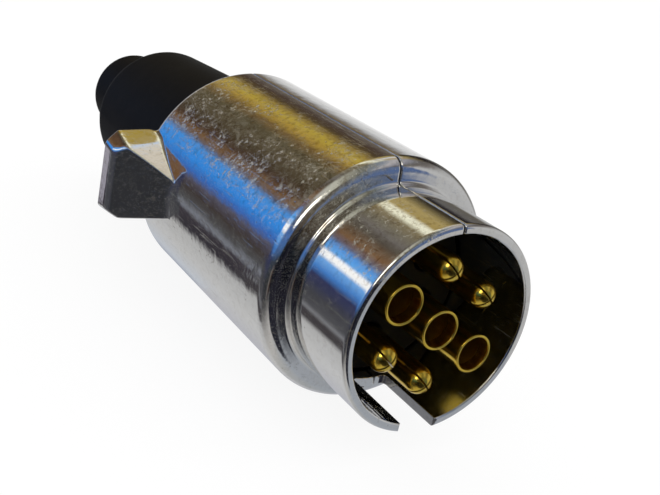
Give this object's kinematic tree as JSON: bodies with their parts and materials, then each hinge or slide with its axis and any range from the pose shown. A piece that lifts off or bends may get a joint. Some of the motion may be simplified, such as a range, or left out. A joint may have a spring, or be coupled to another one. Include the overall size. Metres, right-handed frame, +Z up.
{
  "type": "trailer wiring connector plug",
  "caption": "Round metal-shelled trailer plug: two-part plated shell with nose, keyway and side retaining lug, brass pin and tube contacts in an insulating carrier, cable clamp and rubber boot.",
  "frame": {"origin": "on the plug axis in the plane of the mating shoulder, which is also the flat bottom of the centre tube contact's bore and the front face of the carrier", "axes": "+Y along the axis from the mating end towards the cable, +Z up with the keyway facing -Z, -X towards the retaining lug"},
  "size_m": [0.0553, 0.1431, 0.047],
  "materials": {
    "plated_shell": "bright chrome plating over a die casting, lightly pitted and scratched",
    "contact": "turned brass, polished",
    "carrier": "black moulded insulator",
    "boot": "matte black moulded rubber",
    "screw": "zinc-plated steel",
    "strap": "zinc-plated pressed steel"
  },
  "bodies": {
    "housing": {"left_shell": "plated_shell", "contact_carrier": "carrier", "tube_contact_centre": "contact", "tube_contact_left": "contact", "tube_contact_right": "contact", "pin_contact_upper_right": "contact", "pin_contact_upper_left": "contact", "pin_contact_lower_left": "contact", "pin_contact_lower_right": "contact", "cable_boot": "boot"},
    "right_half": {"right_shell": "plated_shell"},
    "clamp_strap": {"clamp_saddle": "strap"},
    "clamp_screw_a": {"clamp_screw_upper": "screw"},
    "clamp_screw_b": {"clamp_screw_lower": "screw"},
    "shell_screw_front_upper_body": {"shell_screw_front_upper": "screw"},
    "shell_screw_front_lower_body": {"shell_screw_front_lower": "screw"},
    "shell_screw_rear_upper_body": {"shell_screw_rear_upper": "screw"},
    "shell_screw_rear_lower_body": {"shell_screw_rear_lower": "screw"},
    "terminal_screw_tube_centre_body": {"terminal_screw_tube_centre": "screw"},
    "terminal_screw_tube_left_body": {"terminal_screw_tube_left": "screw"},
    "terminal_screw_tube_right_body": {"terminal_screw_tube_right": "screw"},
    "terminal_screw_pin_upper_right_body": {"terminal_screw_pin_upper_right": "screw"},
    "terminal_screw_pin_upper_left_body": {"terminal_screw_pin_upper_left": "screw"},
    "terminal_screw_pin_lower_left_body": {"terminal_screw_pin_lower_left": "screw"},
    "terminal_screw_pin_lower_right_body": {"terminal_screw_pin_lower_right": "screw"}
  },
  "joints": [
    {"name": "right_half_lift_off", "type": "slide", "parent": "housing", "child": "right_half", "axis": [0.9969, 0, 0.0785], "range_m": [0, 0.04]},
    {"name": "shell_screw_front_upper_unscrew", "type": "slide", "parent": "right_half", "child": "shell_screw_front_upper_body", "axis": [0.9969, 0, 0.0785], "range_m": [0, 0.009]},
    {"name": "shell_screw_front_lower_unscrew", "type": "slide", "parent": "right_half", "child": "shell_screw_front_lower_body", "axis": [0.9969, 0, 0.0785], "range_m": [0, 0.009]},
    {"name": "shell_screw_rear_upper_unscrew", "type": "slide", "parent": "right_half", "child": "shell_screw_rear_upper_body", "axis": [0.9969, 0, 0.0785], "range_m": [0, 0.009]},
    {"name": "shell_screw_rear_lower_unscrew", "type": "slide", "parent": "right_half", "child": "shell_screw_rear_lower_body", "axis": [0.9969, 0, 0.0785], "range_m": [0, 0.009]},
    {"name": "cable_clamp", "type": "slide", "parent": "housing", "child": "clamp_strap", "axis": [0.9969, 0, 0.0785], "range_m": [-0.0015, 0.006]},
    {"name": "clamp_screw_upper_travel", "type": "slide", "parent": "housing", "child": "clamp_screw_a", "axis": [0.9969, 0, 0.0785], "range_m": [-0.0015, 0.006]},
    {"name": "clamp_screw_lower_travel", "type": "slide", "parent": "housing", "child": "clamp_screw_b", "axis": [0.9969, 0, 0.0785], "range_m": [-0.0015, 0.006]},
    {"name": "terminal_screw_tube_centre_clamp", "type": "slide", "parent": "housing", "child": "terminal_screw_tube_centre_body", "axis": [0.5, 0, 0.866], "range_m": [-0.0018, 0.0007]},
    {"name": "terminal_screw_tube_left_clamp", "type": "slide", "parent": "housing", "child": "terminal_screw_tube_left_body", "axis": [-0.866, 0, 0.5], "range_m": [-0.0018, 0.0007]},
    {"name": "terminal_screw_tube_right_clamp", "type": "slide", "parent": "housing", "child": "terminal_screw_tube_right_body", "axis": [0.866, 0, -0.5], "range_m": [-0.0018, 0.0007]},
    {"name": "terminal_screw_pin_upper_right_clamp", "type": "slide", "parent": "housing", "child": "terminal_screw_pin_upper_right_body", "axis": [0.866, 0, 0.5], "range_m": [-0.0018, 0.0007]},
    {"name": "terminal_screw_pin_upper_left_clamp", "type": "slide", "parent": "housing", "child": "terminal_screw_pin_upper_left_body", "axis": [0, 0, 1], "range_m": [-0.0018, 0.0007]},
    {"name": "terminal_screw_pin_lower_left_clamp", "type": "slide", "parent": "housing", "child": "terminal_screw_pin_lower_left_body", "axis": [-0.866, 0, -0.5], "range_m": [-0.0018, 0.0007]},
    {"name": "terminal_screw_pin_lower_right_clamp", "type": "slide", "parent": "housing", "child": "terminal_screw_pin_lower_right_body", "axis": [0, 0, -1], "range_m": [-0.0018, 0.0007]}
  ],
  "couplings": [
    {"joint": "clamp_screw_upper_travel", "follows": "cable_clamp", "ratio": 1},
    {"joint": "clamp_screw_lower_travel", "follows": "cable_clamp", "ratio": 1}
  ]
}
